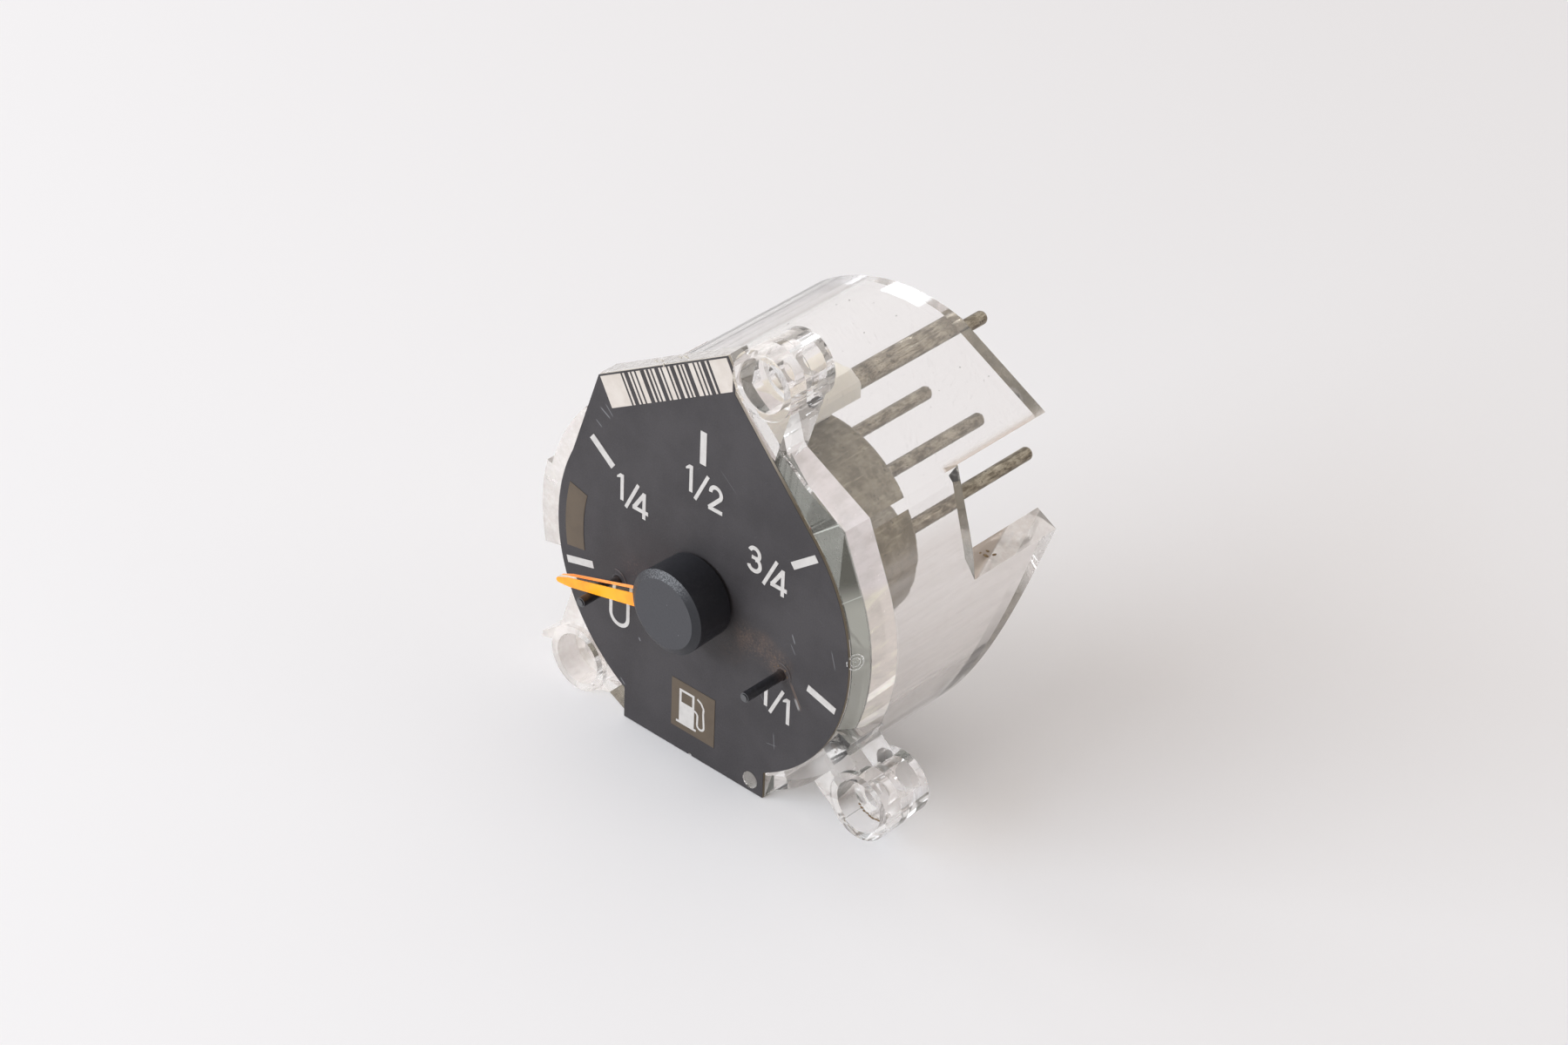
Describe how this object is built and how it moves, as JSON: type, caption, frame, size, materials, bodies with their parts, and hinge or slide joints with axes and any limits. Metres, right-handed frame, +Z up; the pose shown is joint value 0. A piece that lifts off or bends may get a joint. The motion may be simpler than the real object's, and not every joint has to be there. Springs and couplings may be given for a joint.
{
  "type": "fuel gauge",
  "caption": "Fuel gauge with a charcoal dial on a clear light guide, an orange pointer that turns between stop pins, screw bosses and long contact pins at the back.",
  "frame": {"origin": "under the middle of the part's box, on the surface it stands on", "axes": "the dial faces -Y with the pointer's axis along Y, the contact pins point to +Y, +Z is up and +X is to the right seen from the front"},
  "size_m": [0.0672, 0.0622, 0.0726],
  "materials": {
    "clear_acrylic": "clear moulded acrylic, polished, slightly scuffed",
    "dial_board": "cream carrier board, matt",
    "dial_charcoal": "matt charcoal print, lightly scratched and dusty",
    "print_white": "matt off-white print",
    "window_brown": "smoky brown translucent print",
    "code_cream": "matt cream print",
    "code_dark": "matt dark print",
    "stop_black": "black moulded plastic",
    "cap_black": "matt black plastic, worn pale on its edge",
    "pointer_clear": "clear bar tinted by the foil behind it",
    "pointer_orange": "fluorescent orange foil",
    "bush_brass": "turned brass",
    "spindle_steel": "ground steel",
    "magnet_black": "sintered ferrite",
    "bobbin_white": "off-white moulded plastic",
    "coil_copper": "lacquered copper wire",
    "carrier_milky": "milky translucent plastic",
    "can_tinned": "dull tinned steel, stained",
    "screw_steel": "zinc-plated steel",
    "pin_tinned": "dull tinned wire, pitted"
  },
  "bodies": {
    "housing": {"light_guide": "clear_acrylic", "dial_board": "dial_board", "dial_face": "dial_charcoal", "scale_marks": "print_white", "scale_numbers": "print_white", "pump_symbol": "print_white", "reserve_window": "window_brown", "symbol_window": "window_brown", "code_strip": "code_cream", "code_bars": "code_dark", "zero_stop_pin": "stop_black", "full_stop_pin": "stop_black", "front_bearing": "bush_brass", "rear_bearing": "bush_brass", "return_magnet": "magnet_black", "bobbin_front": "bobbin_white", "bobbin_rear": "bobbin_white", "terminal_plate": "bobbin_white", "sine_coil": "coil_copper", "cosine_coil": "coil_copper", "terminal_carrier": "carrier_milky", "shield_can": "can_tinned", "movement_screws": "screw_steel", "lamp_pin": "pin_tinned", "supply_pin": "pin_tinned", "sender_pin": "pin_tinned", "ground_pin": "pin_tinned"},
    "pointer": {"hub_cap": "cap_black", "pointer_blade": "pointer_clear", "pointer_foil": "pointer_orange", "pointer_bush": "bush_brass", "spindle": "spindle_steel", "rotor_magnet": "magnet_black"}
  },
  "joints": [
    {"name": "pointer_turn", "type": "hinge", "parent": "housing", "child": "pointer", "pos_m": [-0.0024, -0.01345, 0.0288], "axis": [0, 1, 0], "range_deg": [0, 210]}
  ]
}
